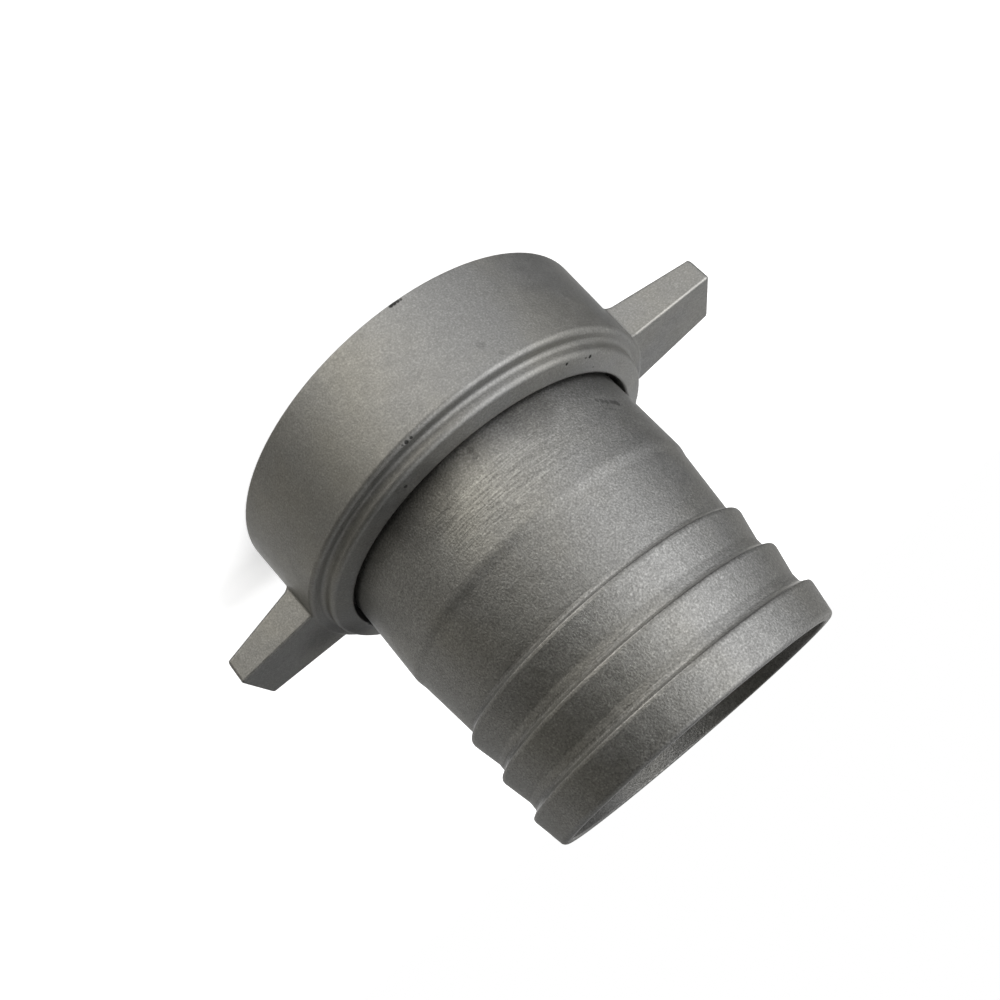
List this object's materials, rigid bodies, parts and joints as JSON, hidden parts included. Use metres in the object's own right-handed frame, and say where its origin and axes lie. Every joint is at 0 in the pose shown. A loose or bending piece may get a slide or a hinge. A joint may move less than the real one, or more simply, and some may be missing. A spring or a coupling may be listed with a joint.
{
  "type": "pin lug hose coupling",
  "caption": "Cast aluminium hose coupling: a barbed hose tail with a flange, held by a freely turning nut with a female pipe thread and cast lugs, sealed by a flat rubber washer.",
  "frame": {"origin": "on the flow axis, in the plane of the nut's mouth, which is the bottom of the part's box", "axes": "+Z along the flow axis from the nut's mouth to the hose tail's tip, +X through one of the two lugs"},
  "size_m": [0.1394, 0.0988, 0.0955],
  "materials": {
    "cast_aluminium": "bead-blasted casting, matte",
    "washer_rubber": "moulded, matte black"
  },
  "bodies": {
    "hose_tail": {"hose_tail": "cast_aluminium"},
    "swivel_nut": {"swivel_nut": "cast_aluminium", "sealing_washer": "washer_rubber"}
  },
  "joints": [
    {"name": "nut_swivel", "type": "hinge", "parent": "hose_tail", "child": "swivel_nut", "pos_m": [0, 0, 0.0222], "axis": [0, 0, 1], "continuous": true}
  ]
}
